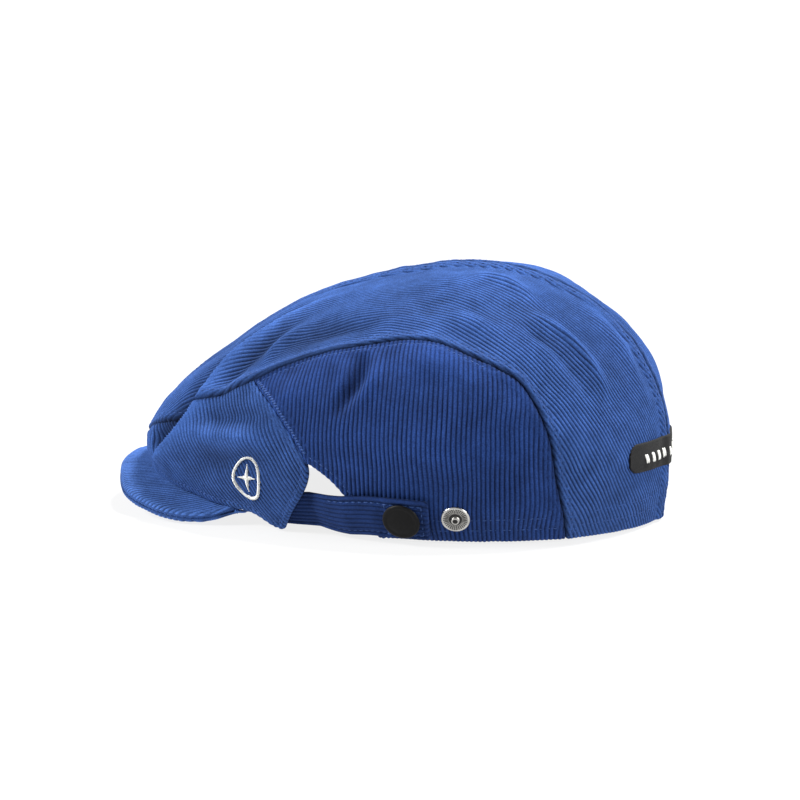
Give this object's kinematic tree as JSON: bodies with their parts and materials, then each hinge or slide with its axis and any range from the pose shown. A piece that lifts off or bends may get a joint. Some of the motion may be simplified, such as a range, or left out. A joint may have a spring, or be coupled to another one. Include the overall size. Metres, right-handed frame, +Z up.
{
  "type": "newsboy cap",
  "caption": "Corduroy newsboy cap with a full crown, a short arched peak, and a notch with a snap strap at each side.",
  "frame": {"origin": "centre of the head opening, on the plane that the hem and the peak's corners rest on", "axes": "+Z up out of the crown's top, the peak points to -X, the back of the head is +X, the wearer's left is -Y"},
  "size_m": [0.2749, 0.2058, 0.1194],
  "materials": {
    "corduroy": "11-wale cotton corduroy",
    "lining": "smooth woven lining",
    "sweatband": "cotton twill",
    "board": "moulded sheet",
    "label": "woven patch",
    "badge": "satin-stitch embroidery",
    "black_cap": "satin enamel",
    "steel": "plated, pressed"
  },
  "bodies": {
    "crown": {"top_panel_left": "corduroy", "top_panel_right": "corduroy", "side_panel_left": "corduroy", "side_panel_right": "corduroy", "front_panel": "corduroy", "peak_top_cover": "corduroy", "peak_bottom_cover": "corduroy", "strap_tail_left": "corduroy", "strap_tail_right": "corduroy", "crown_lining": "lining", "sweatband_front": "sweatband", "sweatband_rear": "sweatband", "peak_board": "board", "back_label": "label", "front_badge": "badge", "band_studs_left": "steel", "band_studs_right": "steel", "stud_backings_left": "steel", "stud_backings_right": "steel"},
    "left_strap": {"strap_left": "corduroy", "snap_cap_left": "black_cap", "snap_socket_left": "steel"},
    "right_strap": {"strap_right": "corduroy", "snap_cap_right": "black_cap", "snap_socket_right": "steel"}
  },
  "joints": [
    {"name": "strap_left_swing", "type": "hinge", "parent": "crown", "child": "left_strap", "pos_m": [-0.037, -0.0947, 0.0135], "axis": [0, 0, -1], "range_deg": [0, 85]},
    {"name": "strap_right_swing", "type": "hinge", "parent": "crown", "child": "right_strap", "pos_m": [-0.037, 0.0947, 0.0135], "axis": [0, 0, 1], "range_deg": [0, 85]}
  ]
}
